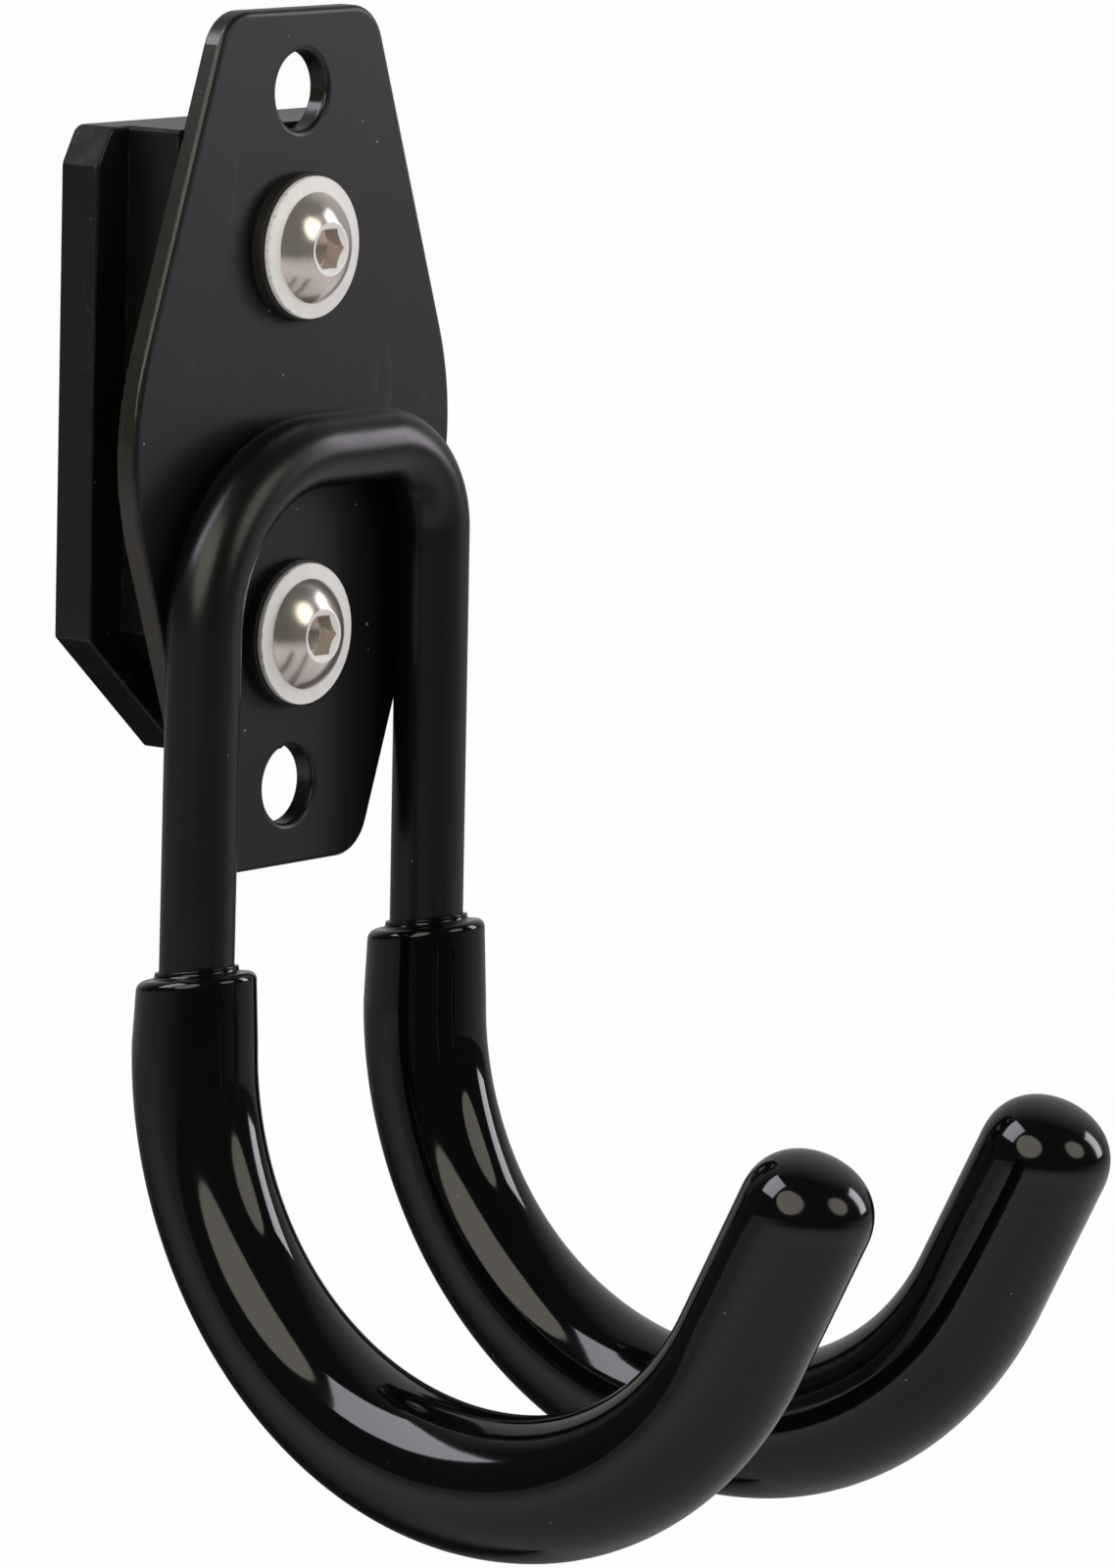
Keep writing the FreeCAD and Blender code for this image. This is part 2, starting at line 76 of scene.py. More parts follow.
SOCKET_WIDTH, SOCKET_DEPTH, SOCKET_MOUTH = 5.0, 2.6, 3.55
SOCKET_CONE, SOCKET_ROUNDING = 34, 0.45
DRILL_RADIUS, DRILL_DEPTH = SOCKET_WIDTH / 2 - 0.02, SOCKET_WIDTH / 4
WASHER_RADIUS, WASHER_THICKNESS, WASHER_ROUNDING = 9.5, 1.6, 0.3
SCREW_HOLE_RADIUS = 4.3

# Fineness of the meshes
ROD_SIDES, SLEEVE_SIDES, SCREW_SIDES, WASHER_SIDES, FLOOR_SIDES = 64, 96, 144, 128, 96
HOOK_STEPS = 76
SHARP_ANGLE = math.radians(38)

# Camera that saw the photo; it aims at a point across and below the middle of the plate's front
CAMERA_AZIMUTH, CAMERA_ELEVATION, CAMERA_ROLL = -52.56, 8.57, math.radians(1.36)
CAMERA_DISTANCE = 1178.4
AIM_ACROSS, AIM_DOWN = 34.2, 42.86
FOCAL_PIXELS, PHOTO_HEIGHT = 9483.68, 1600

# Studio; the lamps are aimed at a point in metres
LAMP_AIM = Vector((0, -0.06, -0.05))
FLOOR_HEIGHT, FLOOR_RADIUS = -320, 6000
WARM = (1.0, 0.95, 0.8)
COOL = (0.93, 0.95, 1.05)
LILAC = (1.0, 0.94, 1.03)


# Mesh building

def skin(name, rings):
    """Smooth mesh through rings of points, facing outward; a ring of one point closes an end."""
    points, faces, starts = [], [], []
    for ring in rings:
        starts.append(len(points))
        points += [p * MM for p in ring]
    for (a, first), (b, second) in zip(zip(starts, rings), zip(starts[1:], rings[1:])):
        count = max(len(first), len(second))
        for i in range(count):
            j = (i + 1) % count
            if len(first) == 1:
                faces.append((a, b + i, b + j))
            elif len(second) == 1:
                faces.append((a + j, a + i, b))
            else:
                faces.append((a + j, a + i, b + i, b + j))
    mesh = bpy.data.meshes.new(name)
    mesh.from_pydata(points, [], faces)
    shell = bmesh.new()
    shell.from_mesh(mesh)
    bmesh.ops.recalc_face_normals(shell, faces=shell.faces)
    shell.to_mesh(mesh)
    shell.free()
    mesh.polygons.foreach_set("use_smooth", [True] * len(faces))
    mesh.update()
    piece = bpy.data.objects.new(name, mesh)
    bpy.context.scene.collection.objects.link(piece)
    return piece


def circle(centre, across, outward, radius, count, lean=Vector()):
    """Ring of points; lean shifts each point in proportion to how far outward it lies."""
    ring = []
    for i in range(count):
        angle = 2 * math.pi * i / count
        out = radius * math.sin(angle)
        ring.append(centre + across * radius * math.cos(angle) + outward * out + lean * out)
    return ring


def dress(piece, node, slot, *materials):
    """Let a new piece stand for a CAD node."""
    for material in materials:
        piece.data.materials.append(material)
    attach(piece, "root")
    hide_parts(node)


# The hook's centreline, as in the CAD source

def leg_directions(side):
    """Down along a leg, and outward in the plane that its hook bends in."""
    down = Vector((side * math.sin(LEG_SPLAY), 0, -math.cos(LEG_SPLAY)))
    sideways = Vector((side * math.cos(LEG_SPLAY), 0, math.sin(LEG_SPLAY)))
    outward = sideways * math.sin(TOE_OUT) - Vector((0, 1, 0)) * math.cos(TOE_OUT)
    return down, outward


def leg_point(side, height):
    """Point on a leg's axis at a height; the legs spread apart downward."""
    spread = (LEG_END_HEIGHT - height) * math.tan(LEG_SPLAY)
    return Vector((side * (LEG_SPACING / 2 + spread), ROD_Y, height))


def hook_station(side, turn):
    """Centre and heading where the hook has turned by an angle in degrees."""
    down, outward = leg_directions(side)
    point = leg_point(side, LEG_END_HEIGHT)
    for radius, start, end in HOOK_BENDS:
        a, b = math.radians(min(turn, start)), math.radians(min(turn, end))
        point = point + outward * radius * (math.cos(a) - math.cos(b))
        point = point + down * radius * (math.sin(b) - math.sin(a))
    angle = math.radians(turn)
    return point, outward * math.sin(angle) + down * math.cos(angle)


def steps(start, end, count):
    """Evenly spaced values with both ends among them."""
    return [start + (end - start) * i / count for i in range(count + 1)]


def over_plate(point):
    """Whether a point lies in front of or behind the plate's hexagon."""
    side = PLATE_SIDE - (PLATE_SIDE - PLATE_END) * abs(point.z) / PLATE_TOP
    return abs(point.z) < PLATE_TOP and abs(point.x) < side


def hook_rod():
    """One bent rod, flat where it is welded to the plate."""
    path = []
    for side in (-1, 1):
        bend = TOP_BEND_RADII[side]
        centre = leg_point(side, TOP_BAR_HEIGHT - bend)
        centre -= Vector((side * bend / math.cos(LEG_SPLAY), 0, 0))
        half = [(centre + Vector((0, 0, bend)), Vector((side, 0, 0)))]
        for angle in steps(0, math.pi / 2 - LEG_SPLAY, 32)[1:]:
            half.append((centre + Vector((side * math.sin(angle), 0, math.cos(angle))) * bend,
                         Vector((side * math.cos(angle), 0, -math.sin(angle)))))
        down, outward = leg_directions(side)
        for height in steps(half[-1][0].z, LEG_END_HEIGHT, 60)[1:]:
            half.append((leg_point(side, height), down))
        half += [hook_station(side, turn) for turn in steps(0, HOOK_ANGLE, HOOK_STEPS)[1:]]
        last, heading = half[-1]
        half.append((last + heading * ROD_END_RUN, heading))
        if side < 0:
            half = [(point, -heading) for point, heading in reversed(half)]
        path += half
    rings, frame_axes = [], None
    for point, heading in path:
        if frame_axes is None:
            across = Vector((1, 0, 0))
            across = (across - heading * across.dot(heading)).normalized()
            frame_axes = (across, heading.cross(across))
        else:
            turn = last_heading.rotation_difference(heading)
            frame_axes = (turn @ frame_axes[0], turn @ frame_axes[1])
        last_heading = heading
        ring = circle(point, *frame_axes, ROD_RADIUS, ROD_SIDES)
        for p in ring:
            if p.y > PLATE_FRONT_Y and over_plate(p):
                p.y = PLATE_FRONT_Y
        rings.append(ring)
    return skin("bent_rod", [[path[0][0]]] + rings + [[path[-1][0]]])


def sleeve_radius(turn):
    """Outside radius where the hook has turned by an angle in degrees."""
    wall = LEG_WALL + (TIP_WALL - LEG_WALL) * turn / HOOK_ANGLE
    return BORE_RADIUS + wall + SWELL * math.sin(math.radians(turn)) ** SWELL_POWER


def arc_profile(centre_r, centre_h, radius, start, end, count):
    """Radius and height along an arc between two angles in degrees."""
    angles = steps(math.radians(start), math.radians(end), count)
    return [(centre_r + radius * math.cos(a), centre_h + radius * math.sin(a)) for a in angles]


def grip_sleeve(name, side):
    """Moulded sleeve: bore, thin lip, rounded shoulder, swept body and blunt dome."""
    down, outward = leg_directions(side)
    across = down.cross(outward)
    up = -down
    mouth = leg_point(side, SLEEVE_TOPS[side])
    count = SLEEVE_SIDES
    top_radius = BORE_RADIUS + TOP_WALL
    stem = BORE_RADIUS + LIP_WALL
    crest = LIP_HEIGHT - LIP_ROUNDING
    point, heading = hook_station(side, HOOK_ANGLE)
    rod_end = point + heading * ROD_END_RUN
    rings = [[rod_end], circle(rod_end, across, across.cross(heading), BORE_RADIUS, count)]
    for turn in steps(HOOK_ANGLE, 0, HOOK_STEPS):
        point, heading = hook_station(side, turn)
        rings.append(circle(point, across, across.cross(heading), BORE_RADIUS, count))
    profile = [(BORE_RADIUS, -3.0), (BORE_RADIUS, crest)]
    profile += arc_profile(BORE_RADIUS + LIP_ROUNDING, crest, LIP_ROUNDING, 135, 90, 2)
    profile += arc_profile(stem - LIP_ROUNDING, crest, LIP_ROUNDING, 90, 0, 4)
    profile += arc_profile(stem + LIP_FILLET, LIP_FILLET, LIP_FILLET, 180, 270, 8)
    profile += [(stem + LIP_FILLET + LIP_LEDGE, 0)]
    profile += arc_profile(top_radius - SHOULDER_RADIUS, -SHOULDER_RADIUS, SHOULDER_RADIUS, 90, 0, 14)
    lean = up * math.tan(MOUTH_TILT)
    rings += [circle(mouth + up * h, across, outward, r, count, lean) for r, h in profile]
    start = mouth - up * SHOULDER_RADIUS
    end = leg_point(side, LEG_END_HEIGHT)
    for share in steps(0, 1, 12)[1:]:
        radius = top_radius + (LEG_WALL - TOP_WALL) * share
        rings.append(circle(start.lerp(end, share), across, outward, radius, count, lean * (1 - share)))
    for turn in steps(0, HOOK_ANGLE, 102)[1:]:
        point, heading = hook_station(side, turn)
        rings.append(circle(point, across, across.cross(heading), sleeve_radius(turn), count))
    point, heading = hook_station(side, HOOK_ANGLE)
    inward = across.cross(heading)
    radius = sleeve_radius(HOOK_ANGLE)
    for share in steps(0, 1, 8)[1:]:
        rings.append(circle(point + heading * PRONG_LENGTH * share, across, inward, radius, count))
    base = point + heading * PRONG_LENGTH
    for t in steps(0, 1, 28)[1:-1]:
        r = radius * ((1 - t) ** 3 + 3 * t * (1 - t) ** 2 + 3 * t ** 2 * (1 - t) * TIP_BLUNTNESS)
        h = TIP_DOME_LENGTH * (3 * t * (1 - t) ** 2 * TIP_BLUNTNESS + 3 * t ** 2 * (1 - t) + t ** 3)
        rings.append(circle(base + heading * h, across, inward, r, count))
    rings.append([base + heading * TIP_DOME_LENGTH])
    return skin(name, rings)


def lathe_rings(profile, z, count):
    """Rings about a screw's axis; the profile holds radius and height in front of the washer."""
    rings = []
    for radius, height in profile:
        centre = Vector((0, WASHER_FRONT_Y - height, z))
        if radius == 0:
            rings.append([centre])
        else:
            rings.append(circle(centre, Vector((1, 0, 0)), Vector((0, 0, 1)), radius, count))
    return rings


def dome_height(radius):
    """Height of a screw's dome above its foot at a distance from the axis."""
    return math.sqrt(DOME_SPHERE ** 2 - radius ** 2) - (DOME_SPHERE - DOME_HEIGHT)


def hexagon_radius(angle):
    """Distance from the axis to a socket's wall; a corner stands at the top."""
    third = math.radians(60)
    return SOCKET_WIDTH / 2 / math.cos((angle - math.radians(90) + third / 2) % third - third / 2)


def join(name, parts):
    """One piece from several, in their order."""
    bpy.ops.object.select_all(action="DESELECT")
    for part in parts:
        part.select_set(True)
    bpy.context.view_layer.objects.active = parts[0]
    bpy.ops.object.join()
    parts[0].name = name
    return parts[0]


def screw(z):
    """Flanged button-head screw, from the shank's end round to the bottom of its socket."""
    count = SCREW_SIDES
    foot = FLANGE_THICKNESS + DOME_FOOT
    slope = math.asin(SOCKET_MOUTH / DOME_SPHERE)
    lip_r = SOCKET_MOUTH - SOCKET_ROUNDING * math.sin(slope)
    lip_h = foot + dome_height(SOCKET_MOUTH) - SOCKET_ROUNDING * math.cos(slope)
    lip = arc_profile(lip_r, lip_h, SOCKET_ROUNDING, 90 - math.degrees(slope), 90 + SOCKET_CONE, 6)
    mouth, crown = lip[-1]
    edge = FLANGE_RADIUS - FLANGE_ROUNDING
    profile = [(0, -SCREW_LENGTH), (SHANK_RADIUS - SHANK_CHAMFER, -SCREW_LENGTH)]
    profile += [(SHANK_RADIUS, SHANK_CHAMFER - SCREW_LENGTH), (SHANK_RADIUS, 0), (edge, 0)]
    profile += arc_profile(edge, FLANGE_ROUNDING, FLANGE_ROUNDING, -90, 0, 3)
    profile += arc_profile(edge, FLANGE_THICKNESS - FLANGE_ROUNDING, FLANGE_ROUNDING, 0, 90, 3)
    profile += [(DOME_RADIUS + FOOT_FLARE, FLANGE_THICKNESS)]
    profile += [(DOME_RADIUS, FLANGE_THICKNESS + FOOT_RISE), (DOME_RADIUS, foot)]
    for r in steps(DOME_RADIUS, SOCKET_MOUTH, 24)[1:-1]:
        profile.append((r, foot + dome_height(r)))
    rings = lathe_rings(profile + lip, z, count)
    cone = math.tan(math.radians(SOCKET_CONE))
    mouth_y = WASHER_FRONT_Y - crown
    floor_y = mouth_y + SOCKET_DEPTH
    corner, wall = [], []
    for i in range(count):
        angle = 2 * math.pi * i / count
        r = hexagon_radius(angle)
        x, up = r * math.cos(angle), z + r * math.sin(angle)
        corner.append(Vector((x, mouth_y + (mouth - r) * cone, up)))
        wall.append(Vector((x, floor_y, up)))
    drill = circle(Vector((0, floor_y, z)), Vector((1, 0, 0)), Vector((0, 0, 1)), DRILL_RADIUS, count)
    return skin("screw", rings + [corner, wall, drill, [Vector((0, floor_y + DRILL_DEPTH, z))]])


def washer(z):
    """Flat washer with a rounded front edge."""
    r = WASHER_ROUNDING
    profile = [(SCREW_HOLE_RADIUS, -WASHER_THICKNESS), (WASHER_RADIUS, -WASHER_THICKNESS)]
    profile += arc_profile(WASHER_RADIUS - r, -r, r, 0, 90, 5)
    profile += [(SCREW_HOLE_RADIUS, 0), (SCREW_HOLE_RADIUS, -WASHER_THICKNESS)]
    return skin("washer", lathe_rings(profile, z, WASHER_SIDES))


# Procedural materials

class Shader:
    """A material under construction; its methods add nodes and return their sockets."""

    def __init__(self, name, colour, roughness, **constants):
        self.material = bpy.data.materials.new(name)
        self.material.use_nodes = True
        self.tree = self.material.node_tree
        self.surface = self.tree.nodes["Principled BSDF"]
        self.surface.inputs["Base Color"].default_value = (*colour, 1)
        self.surface.inputs["Roughness"].default_value = roughness
        for key, value in constants.items():
            self.surface.inputs[key].default_value = value
        coordinates = self.node("ShaderNodeTexCoord").outputs
        self.place = coordinates["Object"]
        self.facing = self.node("ShaderNodeSeparateXYZ", {0: coordinates["Normal"]}).outputs

    def node(self, kind, inputs=None, **settings):
        made = self.tree.nodes.new(kind)
        for key, value in settings.items():
            setattr(made, key, value)
        for key, value in (inputs or {}).items():
            if isinstance(value, bpy.types.NodeSocket):
                self.tree.links.new(value, made.inputs[key])
            else:
                made.inputs[key].default_value = value
        return made

    def link(self, socket, name):
        self.tree.links.new(socket, self.surface.inputs[name])

    def noise(self, scale, detail=3, stretch=(1, 1, 1), rough=0.5, shift=(0, 0, 0)):
        spot = self.node("ShaderNodeMapping", {"Vector": self.place, "Scale": stretch, "Location": shift})
        made = self.node("ShaderNodeTexNoise", {
            "Vector": spot.outputs[0], "Scale": scale, "Detail": detail, "Roughness": rough})
        return made.outputs[0]

    def ramp(self, value, low, high, start=0.0, end=1.0):
        """Value remapped from low..high to start..end and clamped."""
        return self.node("ShaderNodeMapRange", {
            "Value": value, "From Min": low, "From Max": high, "To Min": start, "To Max": end}).outputs[0]

    def math(self, operation, a, b=0.0):
        return self.node("ShaderNodeMath", {0: a, 1: b}, operation=operation).outputs[0]

    def mix(self, share, a, b):
        """Blend of two colours, each a socket or three numbers."""
        a, b = (c if isinstance(c, bpy.types.NodeSocket) else (*c, 1) for c in (a, b))
        return self.node("ShaderNodeMix", {0: share, 6: a, 7: b}, data_type="RGBA").outputs[2]

    def specks(self, scale, size, share, shift=(0, 0, 0)):
        """Mask of small round dust specks in a share of the texture's cells."""
        spot = self.node("ShaderNodeMapping", {"Vector": self.place, "Location": shift})
        cells = self.node("ShaderNodeTexVoronoi", {"Vector": spot.outputs[0], "Scale": scale})
        near = self.ramp(cells.outputs["Distance"], size, size * 0.4)
        chosen = self.math("LESS_THAN", self.node(
            "ShaderNodeSeparateColor", {0: cells.outputs["Color"]}).outputs[0], share)
        return self.math("MULTIPLY", near, chosen)

    def scratches(self, scale, stretch, low, high, shift=(0, 0, 0)):
        """Mask of thin lines drawn out across the stretch."""
        lines = self.noise(scale, 2, stretch, 0.4, shift)
        thin = self.ramp(self.math("ABSOLUTE", self.math("SUBTRACT", lines, 0.5)), 0.006, 0.0)
        return self.math("MULTIPLY", thin, self.ramp(self.noise(60, 2, shift=shift), low, high))

    def edges(self, radius):
        """Mask of the convex and concave edges within a radius in metres."""
        bevel = self.node("ShaderNodeBevel", {"Radius": radius}, samples=6)
        true = self.node("ShaderNodeNewGeometry").outputs["Normal"]
        gap = self.node("ShaderNodeVectorMath", {0: bevel.outputs[0], 1: true}, operation="DOT_PRODUCT")
        return self.ramp(gap.outputs["Value"], 0.98, 0.7)

    def bump(self, *layers):
        """Chain of bumps, each of a height socket and a depth in metres."""
        normal = None
        for height, depth in layers:
            inputs = {"Height": height, "Distance": depth, "Strength": 1.0}
            if normal is not None:
                inputs["Normal"] = normal
            normal = self.node("ShaderNodeBump", inputs).outputs[0]
        self.link(normal, "Normal")


def plate_coating():
    """Satin charcoal coating with dust, faint rubs and worn edges; glossier on the faces turned left and
    right, where a lighter, warmer base colour is painted sheen.
    """
    m = Shader("plate_coating", (0.004, 0.004, 0.0045), 0.5, IOR=1.5)
    cloud = m.noise(45, 4)
    dust = m.specks(330, 0.07, 0.16)
    worn = m.math("MULTIPLY", m.edges(0.0006), m.ramp(m.noise(300, 4), 0.35, 0.7))
    rubs = m.scratches(120, (1, 1, 0.12), 0.5, 0.7)
    base = m.mix(cloud, (0.003, 0.0028, 0.0034), (0.0055, 0.005, 0.006))
    side_sheen = m.ramp(m.math("ABSOLUTE", m.facing[0]), 0.6, 0.9)
    # painted sheen: the faces turned left and right get a lighter, warmer base colour
    base = m.mix(side_sheen, base, (0.0155, 0.014, 0.0098))
    base = m.mix(m.math("MULTIPLY", worn, 0.1), base, (0.12, 0.12, 0.13))
    base = m.mix(m.math("MULTIPLY", rubs, 0.25), base, (0.1, 0.1, 0.1))
    m.link(m.mix(m.math("MULTIPLY", dust, 0.7), base, (0.45, 0.45, 0.46)), "Base Color")
    satin = m.ramp(m.math("ADD", cloud, m.math("MULTIPLY", m.noise(2500, 2), 0.3)), 0.2, 1.1, 0.32, 0.42)
    m.link(m.math("MULTIPLY", satin, m.ramp(side_sheen, 0, 1, 1.0, 0.4)), "Roughness")
    m.bump((m.noise(700, 3), 0.00001), (m.noise(3600, 2), 0.000006))
    return m.material


def rod_coating():
    """Smooth satin black paint on round bar."""
    m = Shader("rod_coating", (0.012, 0.011, 0.011), 0.3, IOR=1.5)
    cloud = m.noise(70, 4)
    dust = m.specks(380, 0.06, 0.12, (3, 1, 2))
    base = m.mix(cloud, (0.002, 0.0017, 0.0017), (0.0036, 0.0031, 0.003))
    m.link(m.mix(m.math("MULTIPLY", dust, 0.6), base, (0.35, 0.34, 0.33)), "Base Color")
    satin = m.ramp(m.math("ADD", cloud, m.math("MULTIPLY", m.noise(1800, 3), 0.35)), 0.25, 1.1, 0.25, 0.35)
    m.link(satin, "Roughness")
    m.bump((m.noise(420, 2), 0.00001), (m.noise(2800, 2), 0.000001))
    return m.material


def sleeve_plastic():
    """Deep gloss black vinyl, slightly wavy, with fine dust and light rubs; duller at the tips."""
    m = Shader("sleeve_plastic", (0.004, 0.004, 0.004), 0.07, IOR=1.5)
    dust = m.specks(300, 0.05, 0.14, (1, 4, 2))
    rubs = m.scratches(90, (1, 0.2, 1), 0.55, 0.75, (2, 0, 1))
    base = m.mix(m.noise(80, 3), (0.0012, 0.0011, 0.0012), (0.002, 0.0018, 0.0019))
    m.link(m.mix(m.math("MULTIPLY", dust, 0.5), base, (0.3, 0.3, 0.3)), "Base Color")
    smear = m.ramp(m.noise(55, 5, (1, 1, 0.5)), 0.35, 0.7, 0.045, 0.1)
    forward = m.node("ShaderNodeSeparateXYZ", {0: m.place}).outputs[1]
    handled = m.ramp(forward, -0.118, -0.13, 0.0, 0.1)
    m.link(m.math("ADD", m.math("ADD", smear, handled), m.math("MULTIPLY", rubs, 0.12)), "Roughness")
    m.bump((m.noise(75, 2), 0.00005), (m.noise(1500, 2), 0.0000012))
    return m.material


def block_plastic():
    """Moulded satin black nylon with a fine grain and nicked edges; its sloping top is matt, with painted
    sheen in lighter brown patches.
    """
    m = Shader("block_plastic", (0.012, 0.012, 0.013), 0.45, IOR=1.5)
    cloud = m.noise(60, 4)
    worn = m.math("MULTIPLY", m.edges(0.0007), m.ramp(m.noise(420, 5), 0.42, 0.7))
    rubs = m.scratches(260, (1, 0.6, 0.2), 0.5, 0.65, (5, 2, 0))
    dust = m.specks(300, 0.08, 0.28, (0, 2, 5))
    base = m.mix(cloud, (0.0025, 0.0023, 0.0023), (0.0045, 0.004, 0.0039))
    base = m.mix(m.math("MULTIPLY", worn, 0.35), base, (0.11, 0.11, 0.115))
    base = m.mix(m.math("MULTIPLY", rubs, 0.2), base, (0.12, 0.12, 0.12))
    corners = m.ramp(m.math("MULTIPLY", m.math("ABSOLUTE", m.facing[0]), m.facing[2]), 0.15, 0.35)
    top_sheen = m.math("MULTIPLY", corners, m.ramp(m.noise(380, 5, (1, 1, 0.5)), 0.45, 0.65))
    # painted sheen: lighter brown patches on the faces turned up and to the sides
    base = m.mix(m.math("MULTIPLY", top_sheen, 0.3), base, (0.05, 0.045, 0.04))
    m.link(m.mix(m.math("MULTIPLY", dust, 0.5), base, (0.4, 0.4, 0.4)), "Base Color")
    satin = m.ramp(m.math("ADD", cloud, m.math("MULTIPLY", m.noise(2200, 2), 0.35)), 0.2, 1.1, 0.26, 0.38)
    m.link(m.math("ADD", satin, m.math("MULTIPLY", corners, 0.45)), "Roughness")
    m.bump((m.noise(2600, 3), 0.00001), (m.noise(150, 3), 0.00002), (rubs, 0.00001))
    return m.material


def axis_distance(m):
    """Distance in metres from the nearer screw's axis."""
    split = m.node("ShaderNodeSeparateXYZ", {0: m.place}).outputs
    up = m.math("SUBTRACT", m.math("ABSOLUTE", split[2]), SCREW_HEIGHTS[0] * MM)
    return m.math("SQRT", m.math("ADD", m.math("MULTIPLY", split[0], split[0]), m.math("MULTIPLY", up, up)))


def dome_steel():
    """Bright nickel plate, warm, with soft tool marks and tiny pits."""
    m = Shader("dome_steel", (0.8, 0.77, 0.73), 0.2, Metallic=0.85)
    turned = m.node("ShaderNodeTexNoise", {
        "Vector": m.node("ShaderNodeCombineXYZ", {0: axis_distance(m)}).outputs[0],
        "Scale": 4000.0, "Detail": 2.0}).outputs[0]
    patch = m.noise(260, 4)
    pits = m.specks(1500, 0.2, 0.2)
    base = m.mix(patch, (0.66, 0.58, 0.48), (0.94, 0.9, 0.86))
    m.link(m.mix(m.math("MULTIPLY", pits, 0.6), base, (0.2, 0.16, 0.12)), "Base Color")
    m.link(m.ramp(m.math("ADD", patch, m.math("MULTIPLY", turned, 0.3)), 0.3, 1.0, 0.13, 0.26), "Roughness")
    m.bump((patch, 0.00002), (turned, 0.0000015))
    return m.material


def flange_steel():
    """Matt zinc on the flange, rough at the flange's cut edge; on the socket's rim the same pale matt colour
    is a painted highlight.
    """
    m = Shader("flange_steel", (0.8, 0.79, 0.78), 0.5, Metallic=0.1)
    ring = m.ramp(axis_distance(m), FLANGE_RADIUS * MM - 0.00025, FLANGE_RADIUS * MM - 0.0001)
    fine = m.noise(2600, 4)
    base = m.mix(m.noise(500, 4), (0.74, 0.73, 0.715), (0.88, 0.87, 0.855))
    stains = m.math("MULTIPLY", ring, m.ramp(m.noise(1100, 4), 0.54, 0.7))
    m.link(m.mix(stains, base, (0.5, 0.48, 0.46)), "Base Color")
    m.link(m.ramp(fine, 0.3, 0.7, 0.5, 0.68), "Roughness")
    m.bump((fine, 0.00002), (m.math("MULTIPLY", ring, m.noise(1300, 3)), 0.0001))
    return m.material


def washer_rubber():
    """Dull black moulded washer."""
    m = Shader("washer_rubber", (0.006, 0.006, 0.006), 0.6, IOR=1.45)
    base = m.mix(m.noise(300, 4), (0.006, 0.0055, 0.005), (0.016, 0.015, 0.013))
    m.link(base, "Base Color")
    m.link(m.ramp(m.noise(900, 3), 0.3, 0.7, 0.5, 0.7), "Roughness")
    m.bump((m.noise(2400, 3), 0.00002))
    return m.material


def nut_steel():
    """Bright zinc on the captive nuts, with fine brush lines."""
    m = Shader("nut_steel", (0.6, 0.6, 0.62), 0.3, Metallic=1.0)
    brush = m.noise(900, 4, (1, 1, 8))
    m.link(m.mix(m.noise(200, 4), (0.5, 0.5, 0.52), (0.68, 0.67, 0.66)), "Base Color")
    m.link(m.ramp(brush, 0.3, 0.7, 0.24, 0.4), "Roughness")
    m.bump((brush, 0.00001))
    return m.material


# Pieces

def paint(node, material):
    """Give a CAD node's mesh its material."""
    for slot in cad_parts[node].material_slots:
        slot.material = material


paint("mount_plate", plate_coating())
paint("rail_block", block_plastic())
paint("hex_nuts", nut_steel())

dress(hook_rod(), "hook_rod", "rod_coating", rod_coating())
vinyl = sleeve_plastic()
dress(grip_sleeve("sleeve_left", -1), "grip_sleeve_left", "sleeve_plastic", vinyl)
dress(grip_sleeve("sleeve_right", 1), "grip_sleeve_right", "sleeve_plastic", vinyl)

screws = join("button_screws", [screw(z) for z in SCREW_HEIGHTS])
screws.data.set_sharp_from_angle(angle=SHARP_ANGLE)
dress(screws, "flange_screws", "screw_steel", dome_steel(), flange_steel())
# The socket's rim and the flange take the second material.
for face in screws.data.polygons:
    out = math.hypot(face.center.x, abs(face.center.z) - SCREW_HEIGHTS[0] * MM) / MM
    # painted highlight: the socket's rim takes the pale matt material
    rim_highlight = SOCKET_WIDTH / 2 < out < SOCKET_MOUTH - 0.1 and face.normal.y < -0.5
    if rim_highlight or out > DOME_RADIUS + 0.01:
        face.material_index = 1
washers = join("screw_washers", [washer(z) for z in SCREW_HEIGHTS])
washers.data.set_sharp_from_angle(angle=SHARP_ANGLE)
dress(washers, "washers", "washer_plastic", washer_rubber())


# Camera, lamps, floor and background

def direction(azimuth, elevation):
    """Unit vector from the object; azimuth 0 is the front and 90 the right-hand side."""
    a, e = math.radians(azimuth), math.radians(elevation)
    return Vector((math.sin(a) * math.cos(e), -math.cos(a) * math.cos(e), math.sin(e)))


def photo_camera():
    back = direction(CAMERA_AZIMUTH, CAMERA_ELEVATION)
    level = direction(CAMERA_AZIMUTH + 90, 0)
    upright = back.cross(level)
    right = level * math.cos(CAMERA_ROLL) + upright * math.sin(CAMERA_ROLL)
    up = upright * math.cos(CAMERA_ROLL) - level * math.sin(CAMERA_ROLL)
    aim = level * AIM_ACROSS - upright * AIM_DOWN + Vector((0, PLATE_FRONT_Y, 0))
    camera = bpy.data.cameras.new("camera")
    camera.sensor_width = 36
    camera.lens = camera.sensor_width * FOCAL_PIXELS / PHOTO_HEIGHT
    camera.clip_start, camera.clip_end = 0.05, 50
    holder = bpy.data.objects.new("camera", camera)
    turn = Matrix((right, up, back)).transposed().to_4x4()
    holder.matrix_world = Matrix.Translation((aim + back * CAMERA_DISTANCE) * MM) @ turn
    bpy.context.scene.collection.objects.link(holder)
    bpy.context.scene.camera = holder


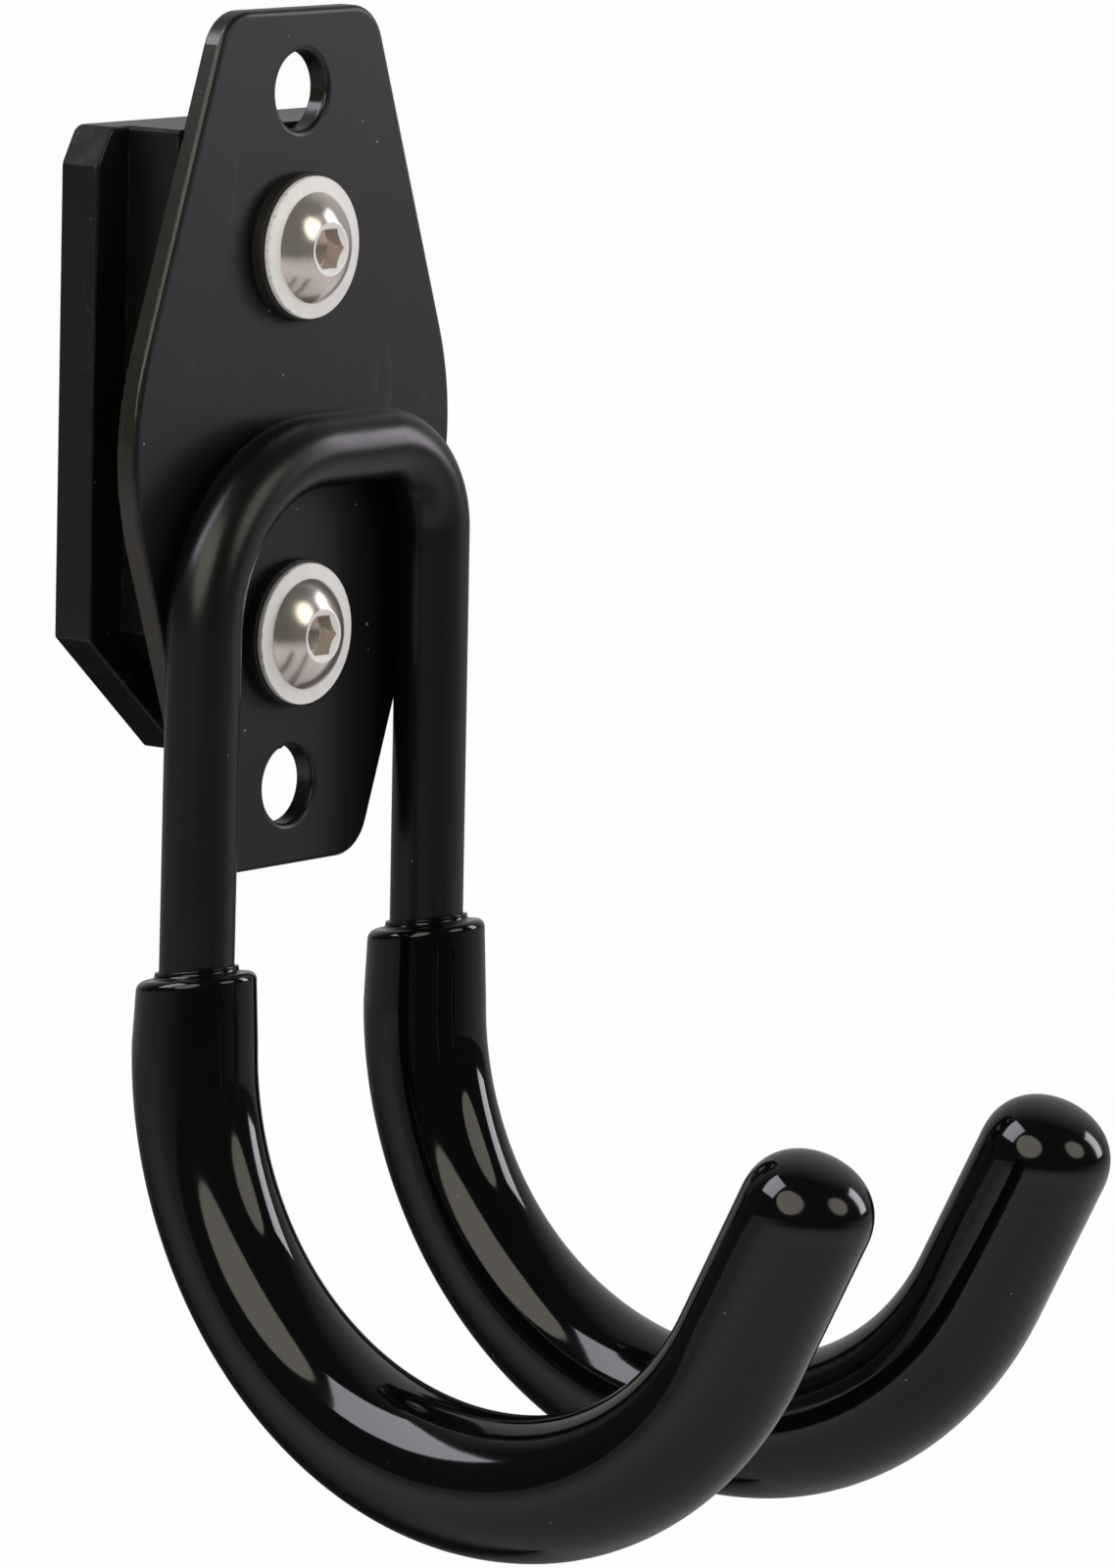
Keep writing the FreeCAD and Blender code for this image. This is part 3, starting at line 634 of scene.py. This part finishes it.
def lamp(name, azimuth, elevation, distance, width, height, watts, colour, shape="RECTANGLE"):
    """Area lamp aimed at the part; its distance and size are in metres."""
    light = bpy.data.lights.new(name, "AREA")
    light.shape = shape
    light.size, light.size_y = width, height
    light.energy = watts
    light.color = colour
    holder = bpy.data.objects.new(name, light)
    towards = direction(azimuth, elevation)
    holder.location = LAMP_AIM + towards * distance
    holder.rotation_mode = "QUATERNION"
    holder.rotation_quaternion = (-towards).to_track_quat("-Z", "Y")
    holder.visible_camera = False
    bpy.context.scene.collection.objects.link(holder)


def studio():
    """Warm round softboxes on the left and in front, a lilac window on the right, a cool one behind left."""
    lamp("soft_left", -79, 32, 1.3, 1.1, 1.1, 6.6, WARM, "DISK")
    lamp("soft_front", 13, 27, 1.3, 0.7, 0.7, 2.5, WARM, "DISK")
    lamp("window_right", 60, 18, 1.5, 0.41, 0.82, 5.9, LILAC)
    lamp("window_behind", -131, 47, 1.5, 0.76, 0.93, 11.2, COOL)


def background():
    """White for the camera, grey for soft light, and in reflections dark but paler behind on the right."""
    world = bpy.data.worlds.new("studio")
    bpy.context.scene.world = world
    world.use_nodes = True
    nodes, links = world.node_tree.nodes, world.node_tree.links

    def sky(colour, strength=None):
        made = nodes.new("ShaderNodeBackground")
        made.inputs["Color"].default_value = (*colour, 1)
        if strength is not None:
            links.new(strength, made.inputs["Strength"])
        return made.outputs[0]

    def mix(share, a, b):
        made = nodes.new("ShaderNodeMixShader")
        for i, socket in enumerate((share, a, b)):
            links.new(socket, made.inputs[i])
        return made.outputs[0]

    path = nodes.new("ShaderNodeLightPath").outputs
    behind = nodes.new("ShaderNodeVectorMath")
    behind.operation = "DOT_PRODUCT"
    links.new(nodes.new("ShaderNodeTexCoord").outputs["Generated"], behind.inputs[0])
    behind.inputs[1].default_value = direction(127, 30)
    level = nodes.new("ShaderNodeMapRange")
    links.new(behind.outputs["Value"], level.inputs["Value"])
    for name, value in (("From Min", 0.5), ("From Max", 0.95), ("To Min", 0.05), ("To Max", 0.5)):
        level.inputs[name].default_value = value
    room = sky((1, 0.97, 0.95), level.outputs[0])
    seen = mix(path["Is Glossy Ray"], sky((0.45, 0.45, 0.45)), room)
    links.new(mix(path["Is Camera Ray"], seen, sky((1, 1, 1))), nodes["World Output"].inputs[0])


def studio_floor():
    """Pale round floor well below the part. In reflections it is bright below the part except
    towards the back, dimmer from a metre off, and dark there towards the front left."""
    centre = Vector((0, 0, FLOOR_HEIGHT))
    rim = circle(centre, Vector((1, 0, 0)), Vector((0, 1, 0)), FLOOR_RADIUS, FLOOR_SIDES)
    mesh = bpy.data.meshes.new("studio_floor")
    mesh.from_pydata([p * MM for p in rim], [], [range(FLOOR_SIDES)])
    floor = bpy.data.objects.new("studio_floor", mesh)
    bpy.context.scene.collection.objects.link(floor)
    paper = Shader("studio_floor", (0.8, 0.8, 0.8), 0.9)
    path = paper.node("ShaderNodeLightPath").outputs
    position = paper.node("ShaderNodeNewGeometry").outputs["Position"]

    def vector_math(operation, *values):
        return paper.node("ShaderNodeVectorMath", dict(enumerate(values)), operation=operation).outputs

    spread = vector_math("MULTIPLY", position, (1, 1, 0))[0]
    way = vector_math("NORMALIZE", spread)[0]

    def facing(azimuth):
        return vector_math("DOT_PRODUCT", way, direction(azimuth, 0))["Value"]

    reach = vector_math("LENGTH", spread)["Value"]
    front = paper.ramp(facing(-20), -0.95, -0.3, 0.06, 1.0)
    near = paper.math("MULTIPLY", front, paper.ramp(reach, 0.2, 0.5, 0.42, 0.6))
    far = paper.ramp(facing(-36), 0.85, 0.1, 0.05, 0.28)
    level = paper.node("ShaderNodeMix", {0: paper.ramp(reach, 0.6, 1.6), 2: near, 3: far}).outputs[0]
    glow = paper.node("ShaderNodeEmission", {"Color": (1, 0.93, 0.975, 1), "Strength": level})
    mirrored = paper.node("ShaderNodeMixShader", {
        0: path["Is Glossy Ray"], 1: paper.surface.outputs[0], 2: glow.outputs[0]})
    seen = paper.node("ShaderNodeMixShader", {
        0: paper.math("MULTIPLY", path["Is Camera Ray"], 0.98), 1: mirrored.outputs[0],
        2: paper.node("ShaderNodeEmission").outputs[0]})
    paper.tree.links.new(seen.outputs[0], paper.tree.nodes["Material Output"].inputs[0])
    mesh.materials.append(paper.material)


photo_camera()
studio()
background()
studio_floor()
bpy.context.scene.view_settings.view_transform = "Standard"
